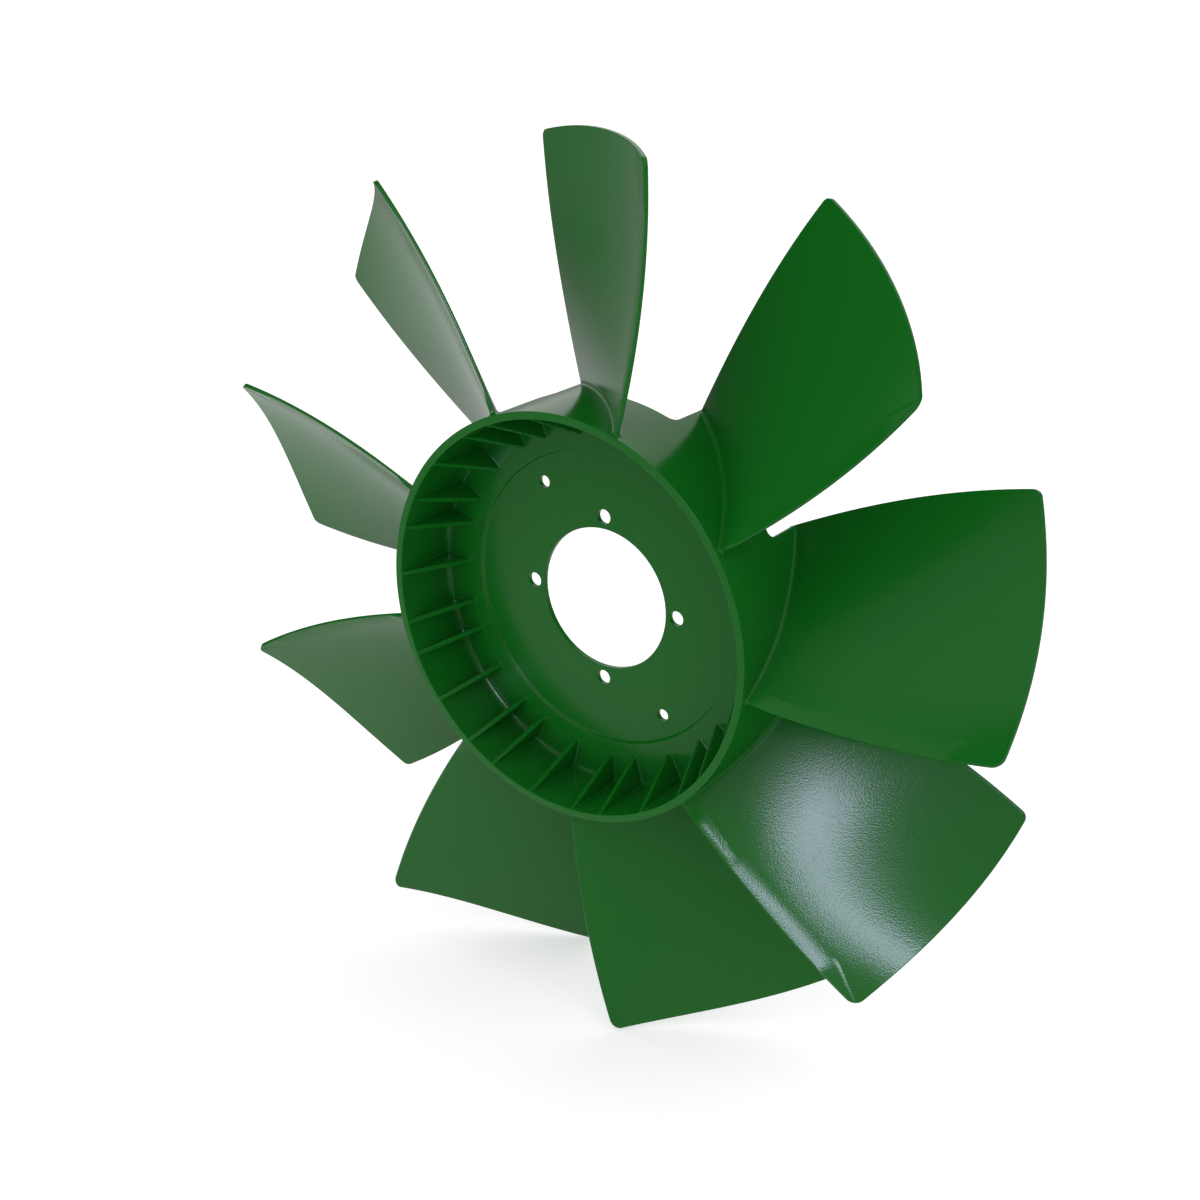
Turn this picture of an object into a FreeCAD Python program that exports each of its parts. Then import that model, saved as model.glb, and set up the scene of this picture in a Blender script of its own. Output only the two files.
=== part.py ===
import FreeCAD, Part
import math
import os

# Axial fan impeller, one injection moulding in plastic.
#
# It stands upright, as it is fitted: the axis lies along Y, the open side of the hub faces -Y,
# and one bolt hole is at the top, towards +Z. The origin is the centre of the pilot bore on the
# mounting face, which is the front of the hub's floor. Lengths are millimetres, and angles are
# degrees from the top, clockwise as seen from the front.

# Hub: a cup with a flat rim
hub_radius = 149.4
hub_wall = 5.5
hub_length = 60.5
cup_depth = 54.0

# Floor of the cup. Its outer ring stands forward of the mounting face by a shallow step.
floor_thickness = 4.2
floor_step = 2.0
floor_step_radius = 110.0
floor_step_run = 1.6
floor_chamfer = 3.5

# Fixing: a pilot bore, a bolt circle, and a pair of smaller holes further out
pilot_radius = 53.0
bolt_circle_radius = 62.0
bolt_hole_radius = 5.5
bolt_count = 4
first_bolt_angle = 0.0
side_circle_radius = 93.5
side_hole_radius = 4.5
side_hole_count = 2
first_side_angle = -33.75

# Gussets stiffen the cup between its wall and its floor, in the same group behind every blade
gusset_angles = [-9.0, 6.0, 16.0]
gusset_thickness = 3.5
gusset_reach_radius = 121.0

# Blades. The front edge and the back edge are given at the hub, halfway out and at the tip:
# the angle from the top, and how far each edge lies behind the rim of the hub.
blade_count = 9
tip_radius = 325.0
blade_thickness = 3.5
hub_front_angle = 17.7
middle_front_angle = 15.3
tip_front_angle = 11.9
hub_back_angle = -18.7
middle_back_angle = -16.8
tip_back_angle = -13.9
front_depth_hub = 4.6
front_depth_middle = 4.3
front_depth_tip = 2.3
back_depth_hub = 95.6
back_depth_middle = 96.4
back_depth_tip = 93.1

# Camber is the height of the section's arc over its chord. The lean moves its top forwards.
hub_camber_ratio = 0.037
middle_camber_ratio = 0.038
tip_camber_ratio = 0.063
lean_ratio = 0.014

# The nose is the bevel along the front edge, on the front face. It starts narrow near the hub,
# steps out to its full width, and runs out to a point at the tip's corner.
nose_start_radius = 170.0
nose_step_radius = 202.0
nose_end_radius = 295.0
nose_narrow_width = 9.0
nose_full_width = 14.0
nose_tip_width = 2.4
nose_depth = 1.3

# The two corners of a blade's tip are rounded, the one at the front edge more
front_corner_radius = 7.0
back_corner_radius = 4.5

# The hub's wall runs on backwards under the rear part of each blade's root, and both of a blade's
# faces flare out into the wall. The flare stops a little short of the blade's ends.
root_corner_radius = 6.0
root_flare = 3.5
root_flare_inset = 1.5

# How finely a blade's faces are set out, and how far one solid reaches into the next
span_steps = 4
chord_steps = 5
nose_steps = 2
overlap = 1.0

# Places that follow from the sizes above, along Y
rim_y = -cup_depth
hub_back_y = rim_y + hub_length
ring_front_y = -floor_step
ring_back_y = floor_thickness - floor_step
cup_radius = hub_radius - hub_wall
blade_pitch = 360.0 / blade_count
spin_axis = FreeCAD.Vector(0, 1, 0)
centre = FreeCAD.Vector(0, 0, 0)


def place(radius, angle, depth):
    """A point at a radius and an angle from the top, and a depth along the axis."""
    turn = math.radians(angle)
    return FreeCAD.Vector(radius * math.sin(turn), depth, radius * math.cos(turn))


def turned(shape, angle):
    """A copy of a shape, turned about the fan's axis."""
    copy = shape.copy()
    copy.rotate(centre, spin_axis, angle)
    return copy


def along_span(at_hub, at_middle, at_tip, radius):
    """A value on the smooth curve through three values, from the hub to the tip."""
    share = (radius - hub_radius) / (tip_radius - hub_radius)
    hub_part = at_hub * (1 - share) * (1 - 2 * share)
    middle_part = at_middle * 4 * share * (1 - share)
    tip_part = at_tip * share * (2 * share - 1)
    return hub_part + middle_part + tip_part


def make_hub():
    """The cup: its half section turned about the axis."""
    step_foot = floor_step_radius
    step_top = floor_step_radius + floor_step_run
    chamfer_radius = cup_radius - floor_chamfer
    chamfer_y = ring_front_y - floor_chamfer
    corners = [
        (pilot_radius, 0),
        (step_foot, 0),
        (step_top, ring_front_y),
        (chamfer_radius, ring_front_y),
        (cup_radius, chamfer_y),
        (cup_radius, rim_y),
        (hub_radius, rim_y),
        (hub_radius, hub_back_y),
        (cup_radius, hub_back_y),
        (cup_radius, ring_back_y),
        (step_top, ring_back_y),
        (step_foot, floor_thickness),
        (pilot_radius, floor_thickness),
    ]
    outline = [FreeCAD.Vector(0, depth, radius) for radius, depth in corners]
    section = Part.Face(Part.makePolygon(outline + [outline[0]]))
    return section.revolve(centre, spin_axis, 360)


def make_holes():
    """The bolt holes and the pair of side holes, as the round cutters that make them."""
    start_y = -floor_step - overlap
    reach = floor_thickness + floor_step + 2 * overlap
    patterns = [
        (bolt_count, first_bolt_angle, bolt_circle_radius, bolt_hole_radius),
        (side_hole_count, first_side_angle, side_circle_radius, side_hole_radius),
    ]
    cutters = []
    for count, first_angle, circle_radius, hole_radius in patterns:
        for number in range(count):
            angle = first_angle + number * 360.0 / count
            start = place(circle_radius, angle, start_y)
            cutters.append(Part.makeCylinder(hole_radius, reach, start, spin_axis))
    return cutters


def make_gusset():
    """One triangular gusset at the top, from the rim's inner edge to the floor."""
    half = gusset_thickness / 2
    outer = cup_radius + overlap
    floor_y = ring_front_y + overlap
    corners = [
        FreeCAD.Vector(-half, rim_y, outer),
        FreeCAD.Vector(-half, rim_y, cup_radius),
        FreeCAD.Vector(-half, ring_front_y, gusset_reach_radius),
        FreeCAD.Vector(-half, floor_y, gusset_reach_radius),
        FreeCAD.Vector(-half, floor_y, outer),
    ]
    outline = Part.makePolygon(corners + [corners[0]])
    return Part.Face(outline).extrude(FreeCAD.Vector(gusset_thickness, 0, 0))


def blade_point(radius, share, height):
    """A point of a blade's section: share goes from the front edge, 0, to the back edge, 1.

    The section is set out flat, with the arc length round the axis and the depth along it,
    and wrapped onto the cylinder. The height is measured off the middle of the section,
    towards the back face.
    """
    front_arc = radius * math.radians(along_span(hub_front_angle, middle_front_angle, tip_front_angle, radius))
    back_arc = radius * math.radians(along_span(hub_back_angle, middle_back_angle, tip_back_angle, radius))
    front_y = rim_y + along_span(front_depth_hub, front_depth_middle, front_depth_tip, radius)
    back_y = rim_y + along_span(back_depth_hub, back_depth_middle, back_depth_tip, radius)
    camber = along_span(hub_camber_ratio, middle_camber_ratio, tip_camber_ratio, radius)
    chord_arc = back_arc - front_arc
    chord_y = back_y - front_y
    rise = 4 * share * (1 - share) * (camber + lean_ratio * (1 - 2 * share))
    slope = 4 * camber * (1 - 2 * share) + 4 * lean_ratio * (1 - 6 * share + 6 * share ** 2)
    # The chord's normal is (chord_y, -chord_arc), as long as the chord itself
    arc = front_arc + chord_arc * share + chord_y * rise
    depth = front_y + chord_y * share - chord_arc * rise
    along_arc = chord_arc + chord_y * slope
    along_y = chord_y - chord_arc * slope
    length = math.hypot(along_arc, along_y)
    arc = arc + height * along_y / length
    depth = depth - height * along_arc / length
    return place(radius, math.degrees(arc / radius), depth)


def blade_chord(radius):
    """The straight distance from a blade's front edge to its back edge."""
    return (blade_point(radius, 1, 0) - blade_point(radius, 0, 0)).Length


def blade_sheet(places, first_inset, last_inset):
    """A smooth face along a blade, through the given pairs of radius and height.

    It starts and ends the given distances inside the blade's front and back edges.
    """
    rows = []
    for radius, height in places:
        first = first_inset / blade_chord(radius)
        last = 1 - last_inset / blade_chord(radius)
        shares = [first + (last - first) * number / chord_steps for number in range(chord_steps + 1)]
        rows.append([blade_point(radius, share, height) for share in shares])
    sheet = Part.BSplineSurface()
    sheet.interpolate([list(line) for line in zip(*rows)])
    return sheet


def level_places(low_radius, high_radius, height):
    """Places from one radius to another at one height."""
    step = (high_radius - low_radius) / span_steps
    return [(low_radius + number * step, height) for number in range(span_steps + 1)]


def solid_between(first, second):
    """The closed solid between two sheets that face each other."""
    first_face = first.toShape()
    second_face = second.toShape()
    first_ends = first.bounds()
    second_ends = second.bounds()
    faces = [first_face, second_face]
    for side in (0, 1):
        first_edge = first.uIso(first_ends[side]).toShape()
        second_edge = second.uIso(second_ends[side]).toShape()
        faces.append(Part.makeRuledSurface(first_edge, second_edge))
    for side in (2, 3):
        first_edge = first.vIso(first_ends[side]).toShape()
        second_edge = second.vIso(second_ends[side]).toShape()
        faces.append(Part.makeRuledSurface(first_edge, second_edge))
    shell = Part.Shell(faces)
    shell.sewShape()
    return Part.makeSolid(shell)


def nose_cutter(low_radius, high_radius, low_width, high_width):
    """The wedge that bevels the front face along the front edge between two radii."""
    face = -blade_thickness / 2
    bevel_rows = []
    outer_rows = []
    for step in range(nose_steps + 1):
        part = step / nose_steps
        radius = low_radius + (high_radius - low_radius) * part
        width = low_width + (high_width - low_width) * part
        inner = (width + overlap) / blade_chord(radius)
        outer = -overlap / blade_chord(radius)
        inner_height = face - nose_depth * overlap / width
        outer_height = face + nose_depth * (width + overlap) / width
        clear_height = inner_height - overlap
        bevel_rows.append([blade_point(radius, inner, inner_height), blade_point(radius, outer, outer_height)])
        outer_rows.append([blade_point(radius, inner, clear_height), blade_point(radius, outer, clear_height)])
    bevel = Part.BSplineSurface()
    bevel.interpolate(bevel_rows)
    clear = Part.BSplineSurface()
    clear.interpolate(outer_rows)
    return solid_between(bevel, clear)


def make_blade():
    """One blade at the top, from inside the hub's wall to the tip."""
    half = blade_thickness / 2
    low_radius = hub_radius - hub_wall / 2
    front = blade_sheet(level_places(low_radius, tip_radius, -half), 0, 0)
    back = blade_sheet(level_places(low_radius, tip_radius, half), 0, 0)
    blade = solid_between(back, front)
    for share, corner_radius in ((0, front_corner_radius), (1, back_corner_radius)):
        corner = blade_point(tip_radius, share, 0)
        near = [edge for edge in blade.Edges if (edge.CenterOfMass - corner).Length < blade_thickness / 4]
        blade = blade.makeFillet(corner_radius, near)
    noses = [
        nose_cutter(nose_start_radius, nose_step_radius, nose_narrow_width, nose_narrow_width),
        nose_cutter(nose_step_radius, nose_end_radius, nose_full_width, nose_full_width),
        nose_cutter(nose_end_radius, tip_radius + overlap, nose_full_width, nose_tip_width),
    ]
    return blade.cut(noses)


def make_root_flare(side):
    """The flare between a blade's face and the hub's wall: side is -1 in front and 1 behind."""
    half = blade_thickness / 2
    high = hub_radius + root_flare + overlap
    low = hub_radius - overlap
    narrow = side * (half - overlap)
    wide = side * (half + root_flare + overlap)
    inset = root_flare_inset
    slope = blade_sheet([(low, wide), (high, narrow)], inset, inset)
    core = blade_sheet([(low, 0), (high, 0)], inset, inset)
    return solid_between(core, slope)


def wall_band(start, sweep, depth):
    """A stretch of the hub's wall from its back edge backwards, starting at an angle."""
    low_y = hub_back_y - overlap
    high_y = hub_back_y + depth
    corners = [
        FreeCAD.Vector(0, low_y, cup_radius),
        FreeCAD.Vector(0, low_y, hub_radius),
        FreeCAD.Vector(0, high_y, hub_radius),
        FreeCAD.Vector(0, high_y, cup_radius),
    ]
    section = Part.Face(Part.makePolygon(corners + [corners[0]]))
    return turned(section.revolve(centre, spin_axis, sweep), start)


def make_root_support():
    """The hub's wall behind its back edge, in front of one blade's root."""
    depth = rim_y + back_depth_hub - hub_back_y
    band = wall_band(hub_back_angle, hub_front_angle - hub_back_angle, depth)
    # Everything behind the blade's root goes
    across = level_places(cup_radius - hub_wall, hub_radius + hub_wall, blade_thickness / 3)
    behind = blade_sheet(across, 0, 0)
    room = behind.toShape().extrude(FreeCAD.Vector(0, back_depth_hub, 0))
    # The corner between the support's edge and the hub's back edge is rounded
    reach = math.degrees(root_corner_radius / hub_radius)
    corner = wall_band(hub_back_angle - reach, reach + overlap, root_corner_radius)
    start = place(cup_radius - hub_wall, hub_back_angle - reach, hub_back_y + root_corner_radius)
    out = place(1, hub_back_angle - reach, 0)
    corner = corner.cut(Part.makeCylinder(root_corner_radius, 3 * hub_wall, start, out))
    return band.cut(room).fuse(corner)


def make_back_flare():
    """The flare behind a blade, which ends where the hub's wall ends."""
    side = 2 * tip_radius
    beyond = Part.makeBox(side, side, side, FreeCAD.Vector(-tip_radius, hub_back_y, -tip_radius))
    return make_root_flare(1).cut(beyond)


solid = make_hub()
solid = solid.cut(make_holes())
blade_parts = [make_blade(), make_root_support(), make_root_flare(-1), make_back_flare()]
gusset = make_gusset()
pieces = []
for number in range(blade_count):
    angle = number * blade_pitch
    for part in blade_parts:
        pieces.append(turned(part, angle))
    for gusset_angle in gusset_angles:
        pieces.append(turned(gusset, angle + gusset_angle))
solid = solid.fuse(pieces)
solid = solid.removeSplitter()

os.makedirs("parts", exist_ok=True)
print("solids", len(solid.Solids), "valid", solid.isValid(), "volume", round(solid.Volume), "faces", len(solid.Faces))
solid.exportStep("parts/fan_impeller.step")
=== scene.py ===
# %% [markdown]
# # An axial fan impeller, moulded in one piece
#
# The real object is a single injection moulding: nine twisted blades round a cup-shaped hub. The
# solid model already fixes every size, so this lesson builds a finer surface on the same sizes:
# rounded edges, fillets, the small bevel along each blade's front edge, and the plastic itself.

# %% Load the fixed frame
import bpy
import bmesh
import math
import numpy as np
from mathutils import Matrix, Vector


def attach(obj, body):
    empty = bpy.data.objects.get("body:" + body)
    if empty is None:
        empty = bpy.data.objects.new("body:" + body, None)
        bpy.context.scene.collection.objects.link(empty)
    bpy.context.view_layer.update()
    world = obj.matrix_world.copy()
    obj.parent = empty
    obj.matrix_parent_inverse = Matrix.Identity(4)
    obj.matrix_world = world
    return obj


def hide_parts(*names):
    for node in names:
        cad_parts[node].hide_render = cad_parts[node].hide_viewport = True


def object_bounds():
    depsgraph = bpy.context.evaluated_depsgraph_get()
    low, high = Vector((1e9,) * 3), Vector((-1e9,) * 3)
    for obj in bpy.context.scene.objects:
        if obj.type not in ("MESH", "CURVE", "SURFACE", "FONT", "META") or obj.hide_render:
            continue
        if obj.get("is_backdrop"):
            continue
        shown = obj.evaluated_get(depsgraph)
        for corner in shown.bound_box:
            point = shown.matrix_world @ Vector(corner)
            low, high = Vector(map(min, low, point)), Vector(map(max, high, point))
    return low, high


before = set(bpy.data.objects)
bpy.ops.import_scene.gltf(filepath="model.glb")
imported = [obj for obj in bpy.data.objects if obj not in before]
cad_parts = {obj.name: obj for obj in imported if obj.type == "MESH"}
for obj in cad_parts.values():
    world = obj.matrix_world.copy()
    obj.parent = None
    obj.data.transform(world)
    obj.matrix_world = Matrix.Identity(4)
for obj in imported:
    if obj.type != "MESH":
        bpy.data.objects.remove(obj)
cad_low, cad_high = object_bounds()
MM = 0.001
print("solid model", [round(v, 4) for v in (*cad_low, *cad_high)])

# %% [markdown]
# ## The camera
#
# The photograph looks at the open side of the hub, from the right and a little above. The axis of
# the fan was found from the round rim and the evenly spaced blades, which leaves one camera that
# fits: a 50 mm lens on a 36 mm sensor, a little over a metre away.

# %% Place the camera
camera_data = bpy.data.cameras.new("camera")
camera_data.lens = 50.0
camera_data.sensor_width = 36.0
camera_data.clip_start = 0.01
camera = bpy.data.objects.new("camera", camera_data)
bpy.context.collection.objects.link(camera)
camera_right = Vector((0.8127, 0.5827, 0.0))
camera_up = Vector((-0.2269, 0.3165, 0.9211))
camera_back = camera_right.cross(camera_up)
axes = Matrix((camera_right, camera_up, camera_back)).transposed().to_4x4()
camera.matrix_world = Matrix.Translation((0.6367, -0.8923, 0.4625)) @ axes
bpy.context.scene.camera = camera
print("camera", [round(v, 3) for v in camera.location])

# %% [markdown]
# ## The sizes
#
# These are the sizes of the solid model, in millimetres and degrees. Angles are measured from the
# top, clockwise as seen from the front. Depth runs along the axis: 0 is the mounting face, and
# the rim is at -54.

# %% Sizes of the hub and the blades
HUB_RADIUS = 149.4
CUP_RADIUS = 143.9
RIM_DEPTH = -54.0
BACK_DEPTH = 6.5
FLOOR_THICKNESS = 4.2
FLOOR_STEP = 2.0
PILOT_RADIUS = 53.0
# A hair under the solid's 325 mm, so that this finer mesh stays inside the same box
TIP_RADIUS = 324.98
BLADES = 9
PITCH = 360.0 / BLADES
HALF_THICKNESS = 1.75
# Each edge as (angle, depth) at the hub, halfway out and at the tip, then the camber and its lean
FRONT_EDGE = ((17.7, -49.4), (15.3, -49.7), (11.9, -51.7))
BACK_EDGE = ((-18.7, 41.6), (-16.8, 42.4), (-13.9, 39.1))
CAMBER = (0.037, 0.038, 0.063)
LEAN = 0.014


def along_span(values, radius):
    """The smooth curve through three values, from the hub to the tip."""
    share = (radius - HUB_RADIUS) / (TIP_RADIUS - HUB_RADIUS)
    at_hub = (1 - share) * (1 - 2 * share)
    at_middle = 4 * share * (1 - share)
    at_tip = share * (2 * share - 1)
    return values[0] * at_hub + values[1] * at_middle + values[2] * at_tip


def chord_length(radius):
    """The length of a blade's section from edge to edge, laid out flat."""
    front = [along_span(column, radius) for column in zip(*FRONT_EDGE)]
    back = [along_span(column, radius) for column in zip(*BACK_EDGE)]
    return math.hypot(radius * math.radians(back[0] - front[0]), back[1] - front[1])


for radius in (HUB_RADIUS, TIP_RADIUS):
    print("chord at radius", radius, "is", round(chord_length(radius), 1))

# %% [markdown]
# ## The blank of one blade
#
# A blade is hard to model in its final, twisted shape. So it starts as a flat blank, like a piece
# on a drawing board: x is the distance along the chord as a share, y is the height off the middle
# of the plastic, and z is the radius. Its thickness, its rounded edges and tip corners, the bevel
# of the front edge and the flare at the root are all simple numbers there. The next step bends it.

# %% Profile of the blank
EDGE_ROUND = 0.6
FRONT_CORNER = 7.0
BACK_CORNER = 4.5
ROOT_FILLET = 2.6
NOSE_FILLET = 2.3
NOSE_DEPTH = 1.3
# The bevel starts, changes its form and ends in a line at these radii
NOSE_START, NOSE_STEP, NOSE_END = 156.0, 202.0, 295.7
# How far the bevel reaches in: near the hub, farther out, and how much narrower it is at the tip
NEAR_WIDTH, FAR_WIDTH, LOST_WIDTH = 10.0, 14.0, 11.6
# The blank starts a little inside the hub's wall, so that no gap is left at the root
LOW_RADIUS = 144.4
# Along the chord, the stretch in which the root's fillet behind the blade dies out
BACK_FADE_START, BACK_FADE_END = 58.0, 74.0


def smooth(value, low, high):
    """A soft step from 0 at the low value to 1 at the high one."""
    part = min(1.0, max(0.0, (value - low) / (high - low)))
    return part * part * (3 - 2 * part)


def nose_widths(radius):
    """How far the bevel reaches in from the front edge: near the hub, and farther out."""
    # Near the hub it narrows a little from radius 170 on
    near = NEAR_WIDTH - 1.5 * max(0.0, radius - 170.0) / 32.0
    far = FAR_WIDTH - LOST_WIDTH * max(0.0, radius - NOSE_END) / (TIP_RADIUS - NOSE_END)
    return near, far


def nose_drop(distance, radius):
    """How far the front face falls back near the front edge."""
    near, far = nose_widths(radius)
    # Near the hub it starts at a crease and curls on
    inside = max(0.0, near - distance)
    curl = 0.10 * inside + 0.004 * inside ** 2 + 0.015 * max(0.0, inside - 4.0) ** 2
    curl *= smooth(radius, NOSE_START, NOSE_START + 13.0)
    # Along most of the blade it is a soft roll
    inside = max(0.0, far - distance)
    roll = NOSE_DEPTH * (inside / FAR_WIDTH) ** 2
    # Towards the tip it is a narrow bevel along a line that runs to the corner
    line = 0.26 * smooth(inside, 0.0, 2.4) + 0.012 * inside
    to_roll = smooth(radius, NOSE_STEP - 5.0, NOSE_STEP + 5.0)
    to_line = smooth(radius, NOSE_END - 7.0, NOSE_END + 6.0)
    return curl * (1 - to_roll) + (roll * (1 - to_line) + line * to_line) * to_roll


for radius in (180.0, 250.0, 310.0):
    print("at radius", radius, "the bevel falls back by", round(nose_drop(0.0, radius), 2))


# %% Fillets and rounded corners
def fillet(distance, size):
    """How far a round fillet stands off a face, at a distance from the face it joins."""
    if distance >= size:
        return 0.0
    if distance <= 0:
        return size
    return size - math.sqrt(size ** 2 - (size - distance) ** 2)


def corner_inset(radius, size):
    """How far an edge draws in at a rounded corner of the tip."""
    above = max(0.0, radius - (TIP_RADIUS - size))
    return size - math.sqrt(max(0.0, size ** 2 - above ** 2))


print("1 mm off the hub, the root's fillet stands off by", round(fillet(1.0, ROOT_FILLET), 2))


# %% Stations along the span
fillet_radii = []
for a in (80, 70, 60, 50, 40, 28, 15, 0):
    fillet_radii.append(HUB_RADIUS + ROOT_FILLET * (1 - math.sin(math.radians(a))))
radii = [LOW_RADIUS, HUB_RADIUS - 0.3] + fillet_radii
radii += list(np.arange(155.0, 181.0, 2.5)) + list(np.arange(184.0, 196.0, 4.0))
radii += list(np.arange(196.5, 208.0, 1.25)) + list(np.arange(212.0, 286.0, 6.0))
radii += list(np.arange(287.5, 303.0, 1.5)) + list(np.arange(305.0, 318.0, 3.5))
radii += [318.0, 319.5, 320.8, 321.8, 322.7, 323.4, 324.0, 324.4]
# The last rows round the tip off: each is a radius, and how far the whole section shrinks there
tip_rows = []
for a in (0, 30, 60, 90):
    below_tip = EDGE_ROUND * (1 - math.sin(math.radians(a)))
    tip_rows.append((TIP_RADIUS - below_tip, EDGE_ROUND * (1 - math.cos(math.radians(a)))))
print("stations along the span", len(radii) + len(tip_rows))

# %% Stations across the chord
arc_angles = [math.radians(a) for a in (0, 22.5, 45, 67.5, 90)]
bevel_shares = [0.1, 0.17, 0.25, 0.34, 0.43, 0.52, 0.61, 0.7, 0.79, 0.86, 0.92, 0.97, 1.0]
past_bevel = [0.4, 1.0, 2.0, 3.6, 6.0]
open_shares = [0.05, 0.1, 0.15, 0.2, 0.26, 0.32, 0.38, 0.44, 0.5, 0.56, 0.62, 0.68, 0.74, 0.8, 0.86]
open_shares += [0.92, 0.95, 0.975, 0.99]
across_chord = 2 * len(arc_angles) + len(bevel_shares) + len(past_bevel) + len(open_shares)
print("stations across the chord", across_chord)


# %% One section of the blank
def blank_row(radius, shrink):
    """The two faces of the blank at one radius, each from the front edge to the back edge."""
    chord = chord_length(radius)
    above = radius - HUB_RADIUS
    start = corner_inset(radius, FRONT_CORNER) + shrink
    end = chord - corner_inset(radius, BACK_CORNER) - shrink
    half = HALF_THICKNESS - shrink
    edge = max(0.05, EDGE_ROUND - shrink)
    round_nose = edge + fillet(above, NOSE_FILLET)
    near, far = nose_widths(radius)
    width = near + (far - near) * smooth(radius, NOSE_STEP - 8.0, NOSE_STEP - 2.0)
    places = [start + share * max(2.0, width - start) for share in bevel_shares]
    places += [places[-1] + step for step in past_bevel]
    first_open = places[-1]
    places += [first_open + share * (end - first_open - 1.5) for share in open_shares]
    rows = []
    for side in (-1, 1):
        row = []
        for a in arc_angles:
            row.append((start + edge - round_nose * math.cos(a), half - edge + round_nose * math.sin(a)))
        for along in places:
            # The fillet is smallest at the nose
            size = NOSE_FILLET + (ROOT_FILLET - NOSE_FILLET) * smooth(along, 2.0, 25.0)
            flare = fillet(above, size)
            if side > 0:
                # Behind the blade the fillet ends where the hub's wall does
                flare *= 1 - smooth(along, BACK_FADE_START, BACK_FADE_END)
            else:
                # In front of it the fillet runs out just before the back edge
                flare *= 1 - smooth(along, end - 5.0, end - 1.0)
            row.append((along, half + flare))
        for a in arc_angles[::-1]:
            row.append((end - edge + edge * math.cos(a), half - edge + edge * math.sin(a)))
        points = []
        for along, height in row:
            drop = nose_drop(max(0.0, along), radius) if side < 0 and shrink < EDGE_ROUND else 0.0
            points.append((along / chord, side * height + drop, radius))
        rows.append(points)
    return rows


print("points in one section", sum(len(row) for row in blank_row(HUB_RADIUS, 0.0)))


# %% The closed blank
def make_blank(name):
    """The closed mesh of the blank."""
    vertices = []
    rows = []
    for radius, shrink in [(radius, 0.0) for radius in radii] + tip_rows:
        front, back = blank_row(radius, shrink)
        loop = front + back[::-1]
        rows.append(list(range(len(vertices), len(vertices) + len(loop))))
        vertices += loop
    count = len(rows[0])
    faces = []
    for low, high in zip(rows, rows[1:]):
        for i in range(count):
            j = (i + 1) % count
            faces.append((low[i], low[j], high[j], high[i]))
    half = count // 2
    for row in (rows[0], rows[-1]):
        for i in range(half - 1):
            faces.append((row[i], row[i + 1], row[count - 2 - i], row[count - 1 - i]))
    mesh = bpy.data.meshes.new(name)
    mesh.from_pydata(vertices, [], faces)
    mesh.update()
    return mesh


def thinnest_nose():
    """The least plastic left between the two faces, and the radius where it is."""
    least = []
    for radius in radii:
        front, back = blank_row(radius, 0.0)
        least.append((min(b[1] - f[1] for f, b in zip(front, back)), radius))
    return min(least)


blank = make_blank("blade_blank")
print("thinnest plastic in mm and its radius", [round(float(value), 2) for value in thinnest_nose()])
print("blank", len(blank.vertices), "corners", len(blank.polygons), "faces")

# %% [markdown]
# ## Bending the blank, and nine copies
#
# Every point of a blade follows one rule, so Geometry Nodes bend the blank. The chord is laid
# between the two edges, the camber lifts its middle towards the back, the height goes along the
# normal, and the flat section is wrapped round the axis. The same tree then sets out the copies.
# The sizes are inputs of the tree, so a reader can twist the blade by hand and watch it change.

# %% A helper that adds one node
def add(tree, kind, settings=None, links=None):
    """Adds a node. Settings are its properties, and links fill its inputs by name or number."""
    node = tree.nodes.new(kind)
    for key, value in (settings or {}).items():
        setattr(node, key, value)
    for key, value in (links or {}).items():
        socket = node.inputs[key]
        if isinstance(value, bpy.types.NodeSocket):
            tree.links.new(value, socket)
        else:
            socket.default_value = value
    return node


def new_geometry_tree(name, inputs):
    """An empty Geometry Nodes tree with named inputs, and its group input and output."""
    tree = bpy.data.node_groups.new(name, "GeometryNodeTree")
    tree.interface.new_socket("Geometry", in_out="INPUT", socket_type="NodeSocketGeometry")
    for label, kind, value in inputs:
        socket = tree.interface.new_socket(label, in_out="INPUT", socket_type=kind)
        if value is not None:
            socket.default_value = value
    tree.interface.new_socket("Geometry", in_out="OUTPUT", socket_type="NodeSocketGeometry")
    return tree, tree.nodes.new("NodeGroupInput"), tree.nodes.new("NodeGroupOutput")


# %% The inputs of the blade tree
blade_inputs = [
    ("Hub radius", "NodeSocketFloat", HUB_RADIUS),
    ("Tip radius", "NodeSocketFloat", TIP_RADIUS),
    ("Lean", "NodeSocketFloat", LEAN),
    ("Blades", "NodeSocketInt", BLADES),
    ("Material", "NodeSocketMaterial", None),
]
for place, number in (("hub", 0), ("middle", 1), ("tip", 2)):
    for label, (angle, depth) in (("Front", FRONT_EDGE[number]), ("Back", BACK_EDGE[number])):
        value = (math.radians(angle), depth, CAMBER[number])
        blade_inputs.append((f"{label} edge at the {place}", "NodeSocketVector", value))
blade_tree, blade_in, blade_out = new_geometry_tree("blades", blade_inputs)
position = add(blade_tree, "GeometryNodeInputPosition")
blank_axes = add(blade_tree, "ShaderNodeSeparateXYZ", links={0: position.outputs[0]})
sockets = {
    "chord share": blank_axes.outputs[0],
    "height": blank_axes.outputs[1],
    "radius": blank_axes.outputs[2],
    "hub radius": blade_in.outputs["Hub radius"],
    "tip radius": blade_in.outputs["Tip radius"],
    "lean": blade_in.outputs["Lean"],
}
print("inputs of the blade tree", len(blade_inputs))

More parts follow.
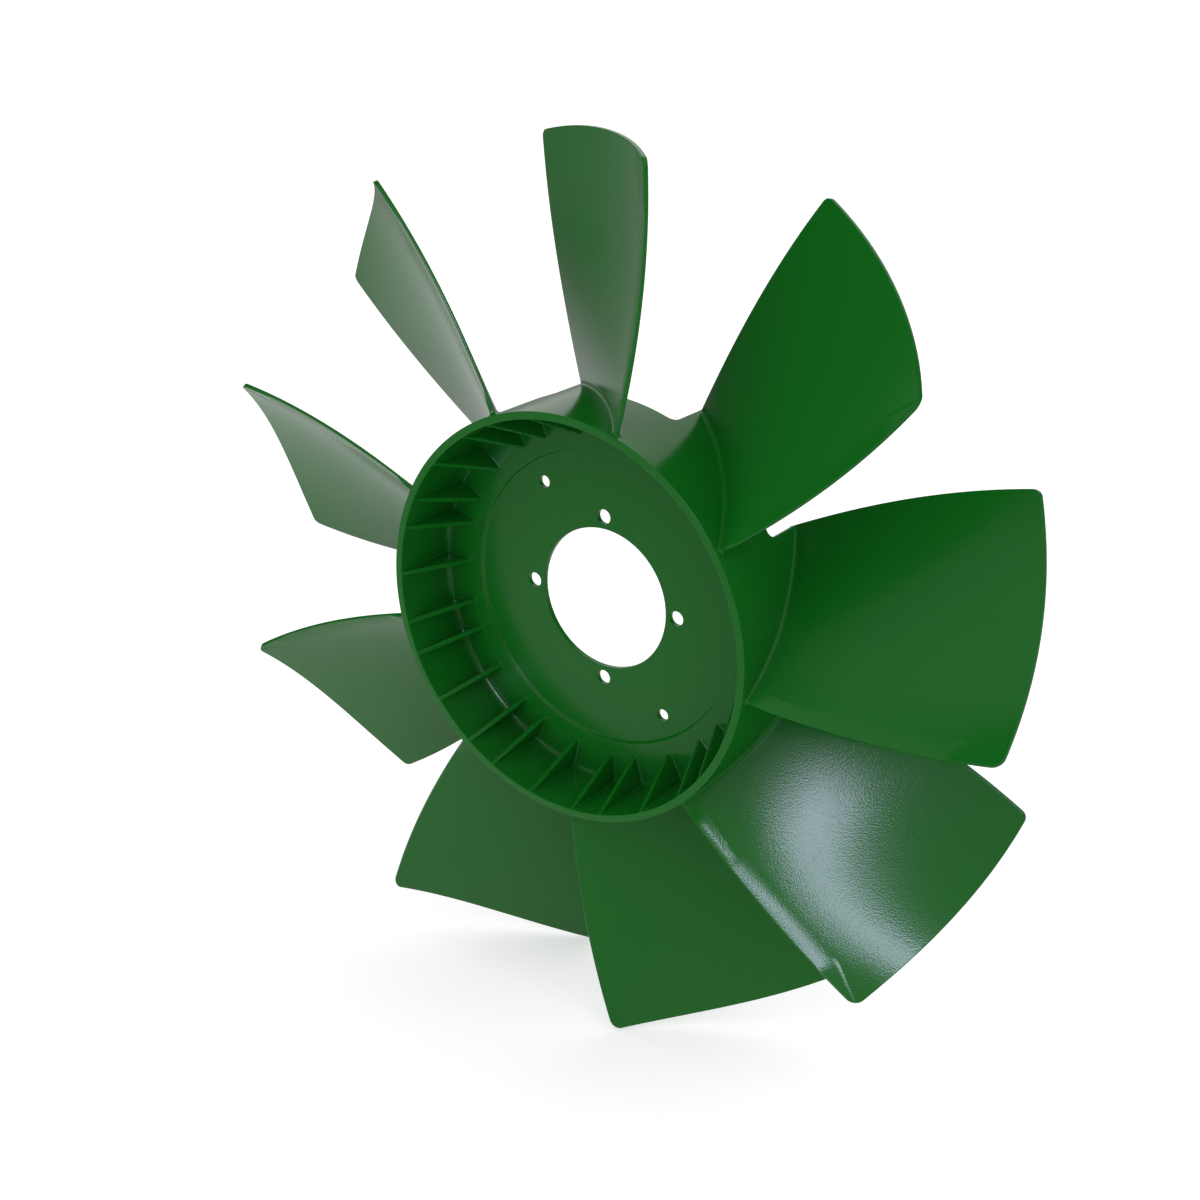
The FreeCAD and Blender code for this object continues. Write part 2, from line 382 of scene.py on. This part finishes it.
# %% How much the hub, the middle and the tip count at this radius
# Each row becomes a Math node: its name, what it does, and what it works on
weight_steps = [
    ("out from hub", "SUBTRACT", "radius", "hub radius"),
    ("span", "SUBTRACT", "tip radius", "hub radius"),
    ("share", "DIVIDE", "out from hub", "span"),
    ("rest", "SUBTRACT", 1.0, "share"),
    ("inner half", "MULTIPLY_ADD", "share", -2.0, 1.0),
    ("outer half", "MULTIPLY_ADD", "share", 2.0, -1.0),
    ("hub weight", "MULTIPLY", "rest", "inner half"),
    ("bulge", "MULTIPLY", "share", "rest"),
    ("middle weight", "MULTIPLY", "bulge", 4.0),
    ("tip weight", "MULTIPLY", "share", "outer half"),
]
for name, operation, *values in weight_steps:
    inputs = {number: sockets.get(value, value) for number, value in enumerate(values)}
    node = add(blade_tree, "ShaderNodeMath", {"operation": operation}, inputs)
    sockets[name] = node.outputs[0]
print("nodes for the weights", len(weight_steps))

# %% Where the two edges lie at this radius
for edge in ("Front", "Back"):
    total = None
    for place in ("hub", "middle", "tip"):
        links = {0: blade_in.outputs[f"{edge} edge at the {place}"], "Scale": sockets[f"{place} weight"]}
        part = add(blade_tree, "ShaderNodeVectorMath", {"operation": "SCALE"}, links)
        if total is None:
            total = part
        else:
            links = {0: total.outputs[0], 1: part.outputs[0]}
            total = add(blade_tree, "ShaderNodeVectorMath", {"operation": "ADD"}, links)
    split = add(blade_tree, "ShaderNodeSeparateXYZ", links={0: total.outputs[0]})
    sockets[f"{edge.lower()} angle"] = split.outputs[0]
    sockets[f"{edge.lower()} depth"] = split.outputs[1]
    sockets["camber"] = split.outputs[2]
print("values so far", len(sockets))

# %% Bend the section and wrap it round the axis
bend_steps = [
    ("front arc", "MULTIPLY", "front angle", "radius"),
    ("back arc", "MULTIPLY", "back angle", "radius"),
    ("chord arc", "SUBTRACT", "back arc", "front arc"),
    ("chord depth", "SUBTRACT", "back depth", "front depth"),
    # The rise of the section off its chord, as a share of the chord
    ("before the end", "SUBTRACT", 1.0, "chord share"),
    ("hump", "MULTIPLY", "chord share", "before the end"),
    ("tilt", "MULTIPLY_ADD", "chord share", -2.0, 1.0),
    ("leaning camber", "MULTIPLY_ADD", "lean", "tilt", "camber"),
    ("quarter rise", "MULTIPLY", "hump", "leaning camber"),
    ("rise", "MULTIPLY", "quarter rise", 4.0),
    # The slope of that rise: 4 camber (1 - 2s) + 4 lean (1 - 6s + 6s^2)
    ("camber slope", "MULTIPLY", "camber", "tilt"),
    ("lean turn", "MULTIPLY_ADD", "hump", -6.0, 1.0),
    ("quarter slope", "MULTIPLY_ADD", "lean", "lean turn", "camber slope"),
    ("slope", "MULTIPLY", "quarter slope", 4.0),
    # The point on the middle of the plastic
    ("arc on chord", "MULTIPLY_ADD", "chord arc", "chord share", "front arc"),
    ("middle arc", "MULTIPLY_ADD", "chord depth", "rise", "arc on chord"),
    ("depth on chord", "MULTIPLY_ADD", "chord depth", "chord share", "front depth"),
    ("fall", "MULTIPLY", "chord arc", "rise"),
    ("middle depth", "SUBTRACT", "depth on chord", "fall"),
    # The height goes along the normal of the section
    ("run along arc", "MULTIPLY_ADD", "chord depth", "slope", "chord arc"),
    ("slope drop", "MULTIPLY", "chord arc", "slope"),
    ("run along depth", "SUBTRACT", "chord depth", "slope drop"),
    ("arc squared", "MULTIPLY", "run along arc", "run along arc"),
    ("run squared", "MULTIPLY_ADD", "run along depth", "run along depth", "arc squared"),
    ("run length", "SQRT", "run squared"),
    ("lift", "DIVIDE", "height", "run length"),
    ("arc", "MULTIPLY_ADD", "lift", "run along depth", "middle arc"),
    ("push", "MULTIPLY", "lift", "run along arc"),
    ("depth", "SUBTRACT", "middle depth", "push"),
    # Wrapped round the axis
    ("angle", "DIVIDE", "arc", "radius"),
    ("sine", "SINE", "angle"),
    ("cosine", "COSINE", "angle"),
    ("right", "MULTIPLY", "radius", "sine"),
    ("up", "MULTIPLY", "radius", "cosine"),
]
for name, operation, *values in bend_steps:
    inputs = {number: sockets.get(value, value) for number, value in enumerate(values)}
    node = add(blade_tree, "ShaderNodeMath", {"operation": operation}, inputs)
    sockets[name] = node.outputs[0]
wrapped = add(blade_tree, "ShaderNodeCombineXYZ",
              links={0: sockets["right"], 1: sockets["depth"], 2: sockets["up"]})
in_metres = add(blade_tree, "ShaderNodeVectorMath", {"operation": "SCALE"},
                {0: wrapped.outputs[0], "Scale": MM})
bent = add(blade_tree, "GeometryNodeSetPosition",
           links={"Geometry": blade_in.outputs["Geometry"], "Position": in_metres.outputs[0]})
print("nodes that bend the section", len(bend_steps))

# %% Copy the blade round the hub
pitch = add(blade_tree, "ShaderNodeMath", {"operation": "DIVIDE"},
            {0: math.tau, 1: blade_in.outputs["Blades"]})
spots = add(blade_tree, "GeometryNodePoints", links={"Count": blade_in.outputs["Blades"]})
index = add(blade_tree, "GeometryNodeInputIndex")
turn = add(blade_tree, "ShaderNodeMath", {"operation": "MULTIPLY"},
           {0: index.outputs[0], 1: pitch.outputs[0]})
turn_axis = add(blade_tree, "ShaderNodeCombineXYZ", links={1: turn.outputs[0]})
copies = add(blade_tree, "GeometryNodeInstanceOnPoints",
             links={"Points": spots.outputs[0], "Instance": bent.outputs[0],
                    "Rotation": turn_axis.outputs[0]})
real = add(blade_tree, "GeometryNodeRealizeInstances", links={"Geometry": copies.outputs[0]})
finish = add(blade_tree, "GeometryNodeSetMaterial",
             links={"Geometry": real.outputs[0], "Material": blade_in.outputs["Material"]})
blade_tree.links.new(finish.outputs[0], blade_out.inputs[0])
print("nodes in the blade tree", len(blade_tree.nodes))

# %% [markdown]
# ## The plastic
#
# The real material is glass-filled nylon, dyed green through and through and moulded in a tool
# with a finely sparked surface. So the colour is one even green with no texture of its own, and
# what the eye reads is the gloss: a broad, soft highlight with a very fine grain in it. Nylon has
# an IOR of about 1.53, and the fine sparked skin leaves it a satin gloss.

# %% Glass-filled nylon, injection moulded, sparked finish
def linear(colour):
    """An sRGB hex value as the linear colour that a shader takes."""
    parts = [int(colour[i:i + 2], 16) / 255 for i in (1, 3, 5)]
    return (*[p / 12.92 if p <= 0.04045 else ((p + 0.055) / 1.055) ** 2.4 for p in parts], 1.0)


# Sparked grain is about 0.1 mm. It is drawn at 1.05 mm, about the finest that shows in a render.
GRAIN_WIDTH = 1.05
GRAIN_DEPTH = 0.039
# Glass fibres leave the gloss a little uneven over some centimetres
FLOW_WIDTH = 45


def make_nylon():
    """The plastic: one even green, a fine grain, and a gloss that varies slightly."""
    material = bpy.data.materials.new("glass_filled_nylon_green")
    material.use_nodes = True
    tree = material.node_tree
    tree.nodes.clear()
    output = tree.nodes.new("ShaderNodeOutputMaterial")
    place = add(tree, "ShaderNodeTexCoord")
    grain = add(tree, "ShaderNodeTexNoise", {"noise_dimensions": "3D"},
                {"Vector": place.outputs["Object"], "Scale": 1 / (GRAIN_WIDTH * MM), "Detail": 0.0,
                 "Roughness": 0.5})
    bump = add(tree, "ShaderNodeBump",
               links={"Strength": 1.0, "Distance": GRAIN_DEPTH * MM, "Height": grain.outputs["Fac"]})
    flow = add(tree, "ShaderNodeTexNoise", {"noise_dimensions": "3D"},
               {"Vector": place.outputs["Object"], "Scale": 1 / (FLOW_WIDTH * MM), "Detail": 2.0,
                "Roughness": 0.5})
    gloss = add(tree, "ShaderNodeMapRange",
                links={"Value": flow.outputs["Fac"], "From Min": 0.3, "From Max": 0.7,
                       "To Min": 0.155, "To Max": 0.185})
    skin = add(tree, "ShaderNodeBsdfPrincipled",
               links={"Base Color": linear("#106a1b"), "Roughness": gloss.outputs[0], "IOR": 1.53,
                      "Normal": bump.outputs[0]})
    tree.links.new(skin.outputs[0], output.inputs[0])
    return material


nylon = make_nylon()
print("nodes in the plastic", len(nylon.node_tree.nodes))


# %% Bake the tree into plain blades
def applied(source, tree, settings, name):
    """Runs a tree on a mesh and returns the result as a plain object with no modifier."""
    holder = bpy.data.objects.new("holder", source)
    bpy.context.collection.objects.link(holder)
    modifier = holder.modifiers.new("nodes", "NODES")
    modifier.node_group = tree
    for item in tree.interface.items_tree:
        if item.in_out == "INPUT" and item.name in settings:
            modifier[item.identifier] = settings[item.name]
    evaluated = holder.evaluated_get(bpy.context.evaluated_depsgraph_get())
    mesh = bpy.data.meshes.new_from_object(evaluated)
    bpy.data.objects.remove(holder)
    mesh.name = name
    piece = bpy.data.objects.new(name, mesh)
    bpy.context.collection.objects.link(piece)
    return piece


def close_up(piece, sharp_angle=32.0):
    """Points the faces outwards and shades smoothly, apart from edges sharper than an angle."""
    edit = bmesh.new()
    edit.from_mesh(piece.data)
    bmesh.ops.remove_doubles(edit, verts=edit.verts, dist=1e-7)
    bmesh.ops.recalc_face_normals(edit, faces=edit.faces)
    open_edges = sum(1 for edge in edit.edges if len(edge.link_faces) != 2)
    volume = edit.calc_volume()
    edit.to_mesh(piece.data)
    edit.free()
    piece.data.shade_smooth()
    piece.data.set_sharp_from_angle(angle=math.radians(sharp_angle))
    triangles = sum(len(face.vertices) - 2 for face in piece.data.polygons)
    print(piece.name, "triangles", triangles, "open edges", open_edges, "cm3", round(volume * 1e6, 1))


blades = applied(blank, blade_tree, {"Material": nylon}, "blades")
close_up(blades)

# %% [markdown]
# ## The hub
#
# The hub is a cup: a wall, a floor with a shallow step, and a flat rim. Its outline is turned
# round the axis. The wall's back edge isn't level, though. Below the rear part of every blade it
# runs on backwards to carry the root, so the outline's back end moves with the angle.

# %% The line of a blade's root on the hub
def root_depth(angle):
    """The depth of the middle of a blade's root at an angle from the blade's own middle."""
    front, back = FRONT_EDGE[0], BACK_EDGE[0]
    chord_arc = HUB_RADIUS * math.radians(back[0] - front[0])
    chord_depth = back[1] - front[1]
    low, high = 0.0, 1.0
    for _ in range(40):
        share = (low + high) / 2
        rise = 4 * share * (1 - share) * (CAMBER[0] + LEAN * (1 - 2 * share))
        arc = HUB_RADIUS * math.radians(front[0]) + chord_arc * share + chord_depth * rise
        if math.degrees(arc / HUB_RADIUS) > angle:
            low = share
        else:
            high = share
    return front[1] + chord_depth * share - chord_arc * rise


# How far, in degrees, the wall runs on past the blade's back edge, so that the two edges meet smoothly
WALL_PAST = 0.3
# The rounding, in mm, where the wall's level back edge turns up to that run
WALL_CORNER = 6.0


def back_depth(angle):
    """Where the hub's wall ends, at an angle from the middle of the nearest blade."""
    edge = BACK_EDGE[0][0] - WALL_PAST
    distance = HUB_RADIUS * math.radians(edge - angle)
    if 0 < distance < WALL_CORNER:
        return BACK_DEPTH + WALL_CORNER - math.sqrt(WALL_CORNER ** 2 - (WALL_CORNER - distance) ** 2)
    if angle >= edge:
        return max(BACK_DEPTH, root_depth(angle))
    return BACK_DEPTH


for angle in (-15, 0, 15):
    print("at", angle, "degrees the wall ends at depth", round(back_depth(angle), 1))


# %% The outline of the hub
ROUND = 0.5
CORNER = 5.0


def rounded(corners):
    """A closed outline with each corner rounded. A corner is (radius, depth, rounding, steps).

    One more point just before and after each rounding keeps the shading of the flat parts flat.
    """
    hold = 0.25
    points = []
    count = len(corners)
    for i in range(count):
        here = Vector(corners[i][:2])
        size, steps = corners[i][2:]
        if not size:
            points.append(tuple(here))
            continue
        before = (Vector(corners[i - 1][:2]) - here).normalized()
        after = (Vector(corners[(i + 1) % count][:2]) - here).normalized()
        half = before.angle(after) / 2
        reach = size / math.tan(half)
        centre = here + (before + after).normalized() * size / math.sin(half)
        first = here + before * reach - centre
        last = here + after * reach - centre
        points.append(tuple(here + before * (reach + hold)))
        for step in range(steps + 1):
            points.append(tuple(centre + first.slerp(last, step / steps) * size))
        points.append(tuple(here + after * (reach + hold)))
    return points


def hub_outline(back):
    """The outline of the cup, from the pilot bore round the rim and back along the rear faces."""
    return rounded([
        (PILOT_RADIUS, 0.0, 0.4, 2),
        (109.4, 0.0, 1.0, 4),
        (111.0, -FLOOR_STEP, 0.3, 2),
        (CUP_RADIUS, -FLOOR_STEP, CORNER, 9),
        (CUP_RADIUS, RIM_DEPTH, ROUND, 3),
        (HUB_RADIUS, RIM_DEPTH, ROUND, 3),
        (HUB_RADIUS, back, ROUND, 3),
        (CUP_RADIUS, back, ROUND, 3),
        (CUP_RADIUS, FLOOR_THICKNESS - FLOOR_STEP, 1.0, 3),
        (112.6, FLOOR_THICKNESS - FLOOR_STEP, 3.0, 3),
        (109.0, FLOOR_THICKNESS, 3.0, 3),
        (PILOT_RADIUS, FLOOR_THICKNESS, 0.4, 2),
    ])


print("points in the hub's outline", len(hub_outline(BACK_DEPTH)))


# %% Turn the outline
# The columns of one blade's sector lie closer together where the wall's back edge is rounded
reach = math.degrees(WALL_CORNER / HUB_RADIUS)
edge = BACK_EDGE[0][0] - WALL_PAST
columns = [edge - reach - 1.0]
columns += [edge - reach * (1 - math.sin(math.radians(a))) for a in range(0, 90, 15)] + [edge - 0.01]
columns += [edge + 0.01, edge + 0.5] + list(np.arange(edge + 1.0, edge + (PITCH - 1.0) - reach, 1.0))
sector = [angle for angle in columns if angle < columns[0] + PITCH - 0.2]
vertices = []
for blade in range(BLADES):
    for angle in sector:
        turn_to = math.radians(angle + PITCH * blade)
        for radius, depth in hub_outline(back_depth(angle)):
            vertices.append((MM * radius * math.sin(turn_to), MM * depth, MM * radius * math.cos(turn_to)))
around = len(sector) * BLADES
ring = len(vertices) // around
faces = []
for i in range(around):
    for j in range(ring):
        a, b = i * ring, (i + 1) % around * ring
        faces.append((a + j, a + (j + 1) % ring, b + (j + 1) % ring, b + j))
hub_mesh = bpy.data.meshes.new("hub")
hub_mesh.from_pydata(vertices, [], faces)
hub = bpy.data.objects.new("hub", hub_mesh)
bpy.context.collection.objects.link(hub)
print("hub columns", around, "points in its outline", ring)

# %% [markdown]
# ## The holes in the floor
#
# Four bolt holes and two smaller ones go through the floor. A Boolean takes them out of the mesh
# and leaves clean round walls, with a small countersunk edge as a moulding pin leaves it.

# %% A cutter for one hole
BOLT_HOLE, BOLT_CIRCLE = 5.5, 62.0
SIDE_HOLE, SIDE_CIRCLE, SIDE_ANGLE = 4.5, 93.5, -33.75


def hole_cutter(radius, circle, angle):
    """A round cutter whose ends widen by a third of a millimetre at both faces of the floor."""
    soft = 0.35
    stations = [(-6.0, radius + soft + 3.0), (-1.5, radius + soft), (0.0, radius + soft), (soft, radius),
                (FLOOR_THICKNESS - soft, radius), (FLOOR_THICKNESS, radius + soft),
                (FLOOR_THICKNESS + 2.0, radius + soft)]
    steps = 48
    turn_to = math.radians(angle)
    centre = Vector((circle * math.sin(turn_to), 0.0, circle * math.cos(turn_to)))
    points = []
    for depth, size in stations:
        for step in range(steps):
            a = math.tau * step / steps
            points.append((centre + Vector((size * math.cos(a), depth, size * math.sin(a)))) * MM)
    sides = []
    for row in range(len(stations) - 1):
        for step in range(steps):
            a, b = row * steps, (row + 1) * steps
            after = (step + 1) % steps
            sides.append((a + step, a + after, b + after, b + step))
    last = (len(stations) - 1) * steps
    sides.append(tuple(range(steps)))
    sides.append(tuple(range(last, last + steps)))
    return points, sides


# %% Cut the holes
cutter_points = []
cutter_faces = []
holes = [(BOLT_HOLE, BOLT_CIRCLE, 90.0 * number) for number in range(4)]
holes += [(SIDE_HOLE, SIDE_CIRCLE, SIDE_ANGLE + 180.0 * number) for number in range(2)]
for radius, circle, angle in holes:
    points, sides = hole_cutter(radius, circle, angle)
    cutter_faces += [tuple(len(cutter_points) + corner for corner in side) for side in sides]
    cutter_points += points
cutter_mesh = bpy.data.meshes.new("cutter")
cutter_mesh.from_pydata(cutter_points, [], cutter_faces)
cutter = bpy.data.objects.new("cutter", cutter_mesh)
bpy.context.collection.objects.link(cutter)
close_up(cutter)
close_up(hub)
boolean = hub.modifiers.new("holes", "BOOLEAN")
boolean.object = cutter
boolean.operation = "DIFFERENCE"
boolean.solver = "EXACT"
cut = bpy.data.meshes.new_from_object(hub.evaluated_get(bpy.context.evaluated_depsgraph_get()))
hub.modifiers.remove(boolean)
hub.data = cut
bpy.data.objects.remove(cutter)
close_up(hub)
hub.data.materials.clear()
hub.data.materials.append(nylon)

# %% [markdown]
# ## The gussets
#
# Thin triangular ribs stiffen the cup. Each runs from the rim's inner edge down to the floor.
# They come in the same group of three behind every blade, so one rib is drawn once, and Geometry
# Nodes set it out: the index of a copy says which blade it belongs to and which of the three
# angles it takes.

# %% One rib
RIB_HALF = 1.75
RIB_REACH = 121.0
RIB_FILLET = 1.4
RIB_EDGE = 0.4
# In degrees from the middle of the blade
RIB_ANGLES = {"First angle": -9.0, "Second angle": 6.0, "Third angle": 16.0}


def make_rib(name):
    """A triangular rib at the top, with small fillets along the wall and the floor."""
    floor = -FLOOR_STEP
    rows = [RIM_DEPTH + 0.4, RIM_DEPTH + 1.5] + list(np.arange(RIM_DEPTH + 6.0, floor - 4.0, 6.0))
    rows += [floor - step for step in (2.4, 1.4, 0.9, 0.5, 0.2, 0.0, -0.8)]
    steps = (-0.8, 0.0, 0.2, 0.5, 0.9, 1.4, 2.4)
    vertices = []
    for depth in rows:
        share = (min(depth, floor) - RIM_DEPTH) / (floor - RIM_DEPTH)
        free = CUP_RADIUS + (RIB_REACH - CUP_RADIUS) * share
        width = CUP_RADIUS - free
        loop = []
        for number, step in enumerate(steps):
            inner = min(step, width * number / len(steps))
            half = RIB_HALF + fillet(inner, RIB_FILLET) + fillet(floor - depth, RIB_FILLET)
            loop.append((half, CUP_RADIUS - inner))
        half = RIB_HALF + fillet(floor - depth, RIB_FILLET)
        for a in arc_angles[::2]:
            loop.append((half - RIB_EDGE * (1 - math.cos(a)), free + RIB_EDGE * (1 - math.sin(a))))
        loop += [(-x, radius) for x, radius in loop[::-1]]
        vertices += [(x * MM, depth * MM, radius * MM) for x, radius in loop]
    count = len(vertices) // len(rows)
    faces = [tuple(range(count)), tuple(range(len(vertices) - count, len(vertices)))]
    for row in range(len(rows) - 1):
        for i in range(count):
            j = (i + 1) % count
            a, b = row * count, (row + 1) * count
            faces.append((a + i, a + j, b + j, b + i))
    mesh = bpy.data.meshes.new(name)
    mesh.from_pydata(vertices, [], faces)
    return mesh


rib = make_rib("rib")
print("corners in one rib", len(rib.vertices))

# %% Set out the ribs
rib_inputs = [("Blades", "NodeSocketInt", BLADES)]
for label, angle in RIB_ANGLES.items():
    rib_inputs.append((label, "NodeSocketFloat", math.radians(angle)))
rib_inputs.append(("Material", "NodeSocketMaterial", None))
rib_tree, rib_in, rib_out = new_geometry_tree("ribs", rib_inputs)
in_group = float(len(RIB_ANGLES))
total = add(rib_tree, "ShaderNodeMath", {"operation": "MULTIPLY"},
            {0: rib_in.outputs["Blades"], 1: in_group})
spots = add(rib_tree, "GeometryNodePoints", links={"Count": total.outputs[0]})
index = add(rib_tree, "GeometryNodeInputIndex")
third = add(rib_tree, "ShaderNodeMath", {"operation": "DIVIDE"}, {0: index.outputs[0], 1: in_group})
blade_number = add(rib_tree, "ShaderNodeMath", {"operation": "FLOOR"}, {0: third.outputs[0]})
member = add(rib_tree, "ShaderNodeMath", {"operation": "MODULO"}, {0: index.outputs[0], 1: in_group})
pick = add(rib_tree, "GeometryNodeIndexSwitch", {"data_type": "FLOAT"}, {"Index": member.outputs[0]})
pick.index_switch_items.new()
for number, label in enumerate(RIB_ANGLES):
    rib_tree.links.new(rib_in.outputs[label], pick.inputs[number + 1])
pitch = add(rib_tree, "ShaderNodeMath", {"operation": "DIVIDE"}, {0: math.tau, 1: rib_in.outputs["Blades"]})
turn = add(rib_tree, "ShaderNodeMath", {"operation": "MULTIPLY_ADD"},
           {0: blade_number.outputs[0], 1: pitch.outputs[0], 2: pick.outputs[0]})
turn_axis = add(rib_tree, "ShaderNodeCombineXYZ", links={1: turn.outputs[0]})
copies = add(rib_tree, "GeometryNodeInstanceOnPoints",
             links={"Points": spots.outputs[0], "Instance": rib_in.outputs["Geometry"],
                    "Rotation": turn_axis.outputs[0]})
real = add(rib_tree, "GeometryNodeRealizeInstances", links={"Geometry": copies.outputs[0]})
finish = add(rib_tree, "GeometryNodeSetMaterial",
             links={"Geometry": real.outputs[0], "Material": rib_in.outputs["Material"]})
rib_tree.links.new(finish.outputs[0], rib_out.inputs[0])
ribs = applied(rib, rib_tree, {"Material": nylon}, "ribs")
close_up(ribs)

# %% [markdown]
# ## Stand for the solid
#
# The three pieces together stand for the one moulding of the solid model, and they ride on it.

# %% Tie the pieces to the frame
for piece in (hub, blades, ribs):
    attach(piece, "root")
    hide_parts("fan_impeller")
    print(piece.name, "rides on the moulding")

# %% [markdown]
# ## Floor, light and background
#
# The floor is plain and pale, and it fades into a white background. For the camera it is lifted a
# little, so that only the soft shadow under the blades still shows. The light is a plain white
# tent all round. What a satin surface mirrors matters more: the brightest part of the backdrop
# lies behind the fan on the left, partly a pool of light painted on the floor that glows in shine
# only, the room in front and on the right is dim, and one softbox above the camera and to its left
# gives the glare on the lower right blade.

# %% A helper for directions
def heading(azimuth, elevation):
    """A direction, from its azimuth, clockwise from straight behind the fan, and its elevation."""
    a, e = math.radians(azimuth), math.radians(elevation)
    return Vector((math.sin(a) * math.cos(e), math.cos(a) * math.cos(e), math.sin(e)))


# %% The floor
# How far the floor is lifted for the camera
CAMERA_LIFT = 0.42
# A pool of light painted on the floor, which glows only in what the plastic mirrors: its middle, its level
# there and the level all round
PAINTED_POOL_MIDDLE = (-0.85, 0.42)
PAINTED_POOL_LEVEL, FLOOR_LEVEL = 0.76, 0.28
floor_mesh = bpy.data.meshes.new("floor")
size = 40.0
low = cad_low[2] - 0.001
floor_corners = [(-size, -size, low), (size, -size, low), (size, size, low), (-size, size, low)]
floor_mesh.from_pydata(floor_corners, [], [(0, 1, 2, 3)])
floor = bpy.data.objects.new("floor", floor_mesh)
bpy.context.collection.objects.link(floor)
paper = bpy.data.materials.new("pale_paper")
paper.use_nodes = True
tree = paper.node_tree
tree.nodes.clear()
paper_out = tree.nodes.new("ShaderNodeOutputMaterial")
matt = add(tree, "ShaderNodeBsdfDiffuse", links={"Color": linear("#f0f0f0")})
ray = add(tree, "ShaderNodeLightPath")
straight = add(tree, "ShaderNodeMath", {"operation": "MAXIMUM"},
               {0: ray.outputs["Is Camera Ray"], 1: ray.outputs["Is Transmission Ray"]})
lift = add(tree, "ShaderNodeMath", {"operation": "MULTIPLY"}, {0: straight.outputs[0], 1: CAMERA_LIFT})
glow = add(tree, "ShaderNodeEmission", links={"Color": (1, 1, 1, 1), "Strength": lift.outputs[0]})
seen = add(tree, "ShaderNodeAddShader", links={0: matt.outputs[0], 1: glow.outputs[0]})
# What the plastic mirrors of the floor is painted light: an even glow, with a painted pool of light behind
# the fan on the left
spot = add(tree, "ShaderNodeNewGeometry")
away = add(tree, "ShaderNodeVectorMath", {"operation": "DISTANCE"},
           {0: spot.outputs["Position"], 1: (*PAINTED_POOL_MIDDLE, low)})
pool = add(tree, "ShaderNodeMapRange", {"interpolation_type": "SMOOTHSTEP"},
           {"Value": away.outputs["Value"], "From Min": 0.35, "From Max": 1.35,
            "To Min": PAINTED_POOL_LEVEL, "To Max": FLOOR_LEVEL})
# The floor glows here for shine rays only: painted light, not lit by any lamp
mirrored = add(tree, "ShaderNodeEmission", links={"Color": (1, 1, 1, 1), "Strength": pool.outputs[0]})
both = add(tree, "ShaderNodeMixShader",
           links={0: ray.outputs["Is Glossy Ray"], 1: seen.outputs[0], 2: mirrored.outputs[0]})
tree.links.new(both.outputs[0], paper_out.inputs[0])
floor_mesh.materials.append(paper)
floor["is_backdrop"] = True
print("floor at", round(low, 4))

# %% The light
# How bright the plain white light all round is
TENT_LEVEL = 0.88
world = bpy.data.worlds.new("studio")
bpy.context.scene.world = world
world.use_nodes = True
sky = world.node_tree
sky.nodes.clear()
sky_out = sky.nodes.new("ShaderNodeOutputWorld")
ray = add(sky, "ShaderNodeLightPath")
place = add(sky, "ShaderNodeTexCoord")
shine = None
# Each pale part of the room: its middle, its half width, where its edge has faded out, and its level
room = (
    (heading(-28, 22), 20, 45, 0.75),
    (heading(180, 38), 33, 39, 0.30),
    (heading(90, 55), 15, 38, 0.36),
)
for middle, inner, outer, level in room:
    across = add(sky, "ShaderNodeVectorMath", {"operation": "DOT_PRODUCT"},
                 {0: place.outputs["Generated"], 1: middle})
    part = add(sky, "ShaderNodeMapRange", {"interpolation_type": "SMOOTHSTEP"},
               {"Value": across.outputs["Value"], "From Min": math.cos(math.radians(outer)),
                "From Max": math.cos(math.radians(inner)), "To Max": level})
    shine = part if shine is None else add(sky, "ShaderNodeMath", {"operation": "ADD"},
                                           {0: shine.outputs[0], 1: part.outputs[0]})
# Plain light for everything, the mirrored room for shine, and white for the camera and for glass
ambient = add(sky, "ShaderNodeMix", {"data_type": "FLOAT"},
              {"Factor": ray.outputs["Is Glossy Ray"], "A": TENT_LEVEL, "B": shine.outputs[0]})
clear = add(sky, "ShaderNodeMath", {"operation": "MAXIMUM"},
            {0: ray.outputs["Is Camera Ray"], 1: ray.outputs["Is Transmission Ray"]})
strength = add(sky, "ShaderNodeMix", {"data_type": "FLOAT"},
               {"Factor": clear.outputs[0], "A": ambient.outputs[0], "B": 1.0})
background = add(sky, "ShaderNodeBackground",
                 links={"Color": (1, 1, 1, 1), "Strength": strength.outputs[0]})
sky.links.new(background.outputs[0], sky_out.inputs[0])
print("pale parts of the room", len(room))


# %% The softbox
def softbox(name, target, azimuth, elevation, distance, size, radiance, colour):
    """A flat area light that stands off a point in a direction, faces it, and is seen in shine only."""
    data = bpy.data.lights.new(name, "AREA")
    data.shape = "RECTANGLE"
    data.size, data.size_y = size
    data.energy = radiance * math.pi * size[0] * size[1]
    data.color = colour
    lamp = bpy.data.objects.new(name, data)
    lamp.location = Vector(target) + heading(azimuth, elevation) * distance
    lamp.rotation_euler = heading(azimuth, elevation).to_track_quat("Z", "Y").to_euler()
    lamp.visible_diffuse = False
    bpy.context.collection.objects.link(lamp)
    print("softbox", name, "at", [round(v, 2) for v in lamp.location])


softbox("key", target=(0.22, -0.02, -0.13), azimuth=164.0, elevation=29.6, distance=3.0,
        size=(0.85, 0.42), radiance=11.5, colour=(0.70, 0.73, 1.0))

# %% [markdown]
#
# The colours go to the screen unchanged. The boxes of the solid model and of the dressed part are
# written down, so that the two can be compared.

# %% Settings
bpy.context.scene.view_settings.view_transform = "Standard"
low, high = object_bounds()
print("visual model", [round(v, 4) for v in (*low, *high)])
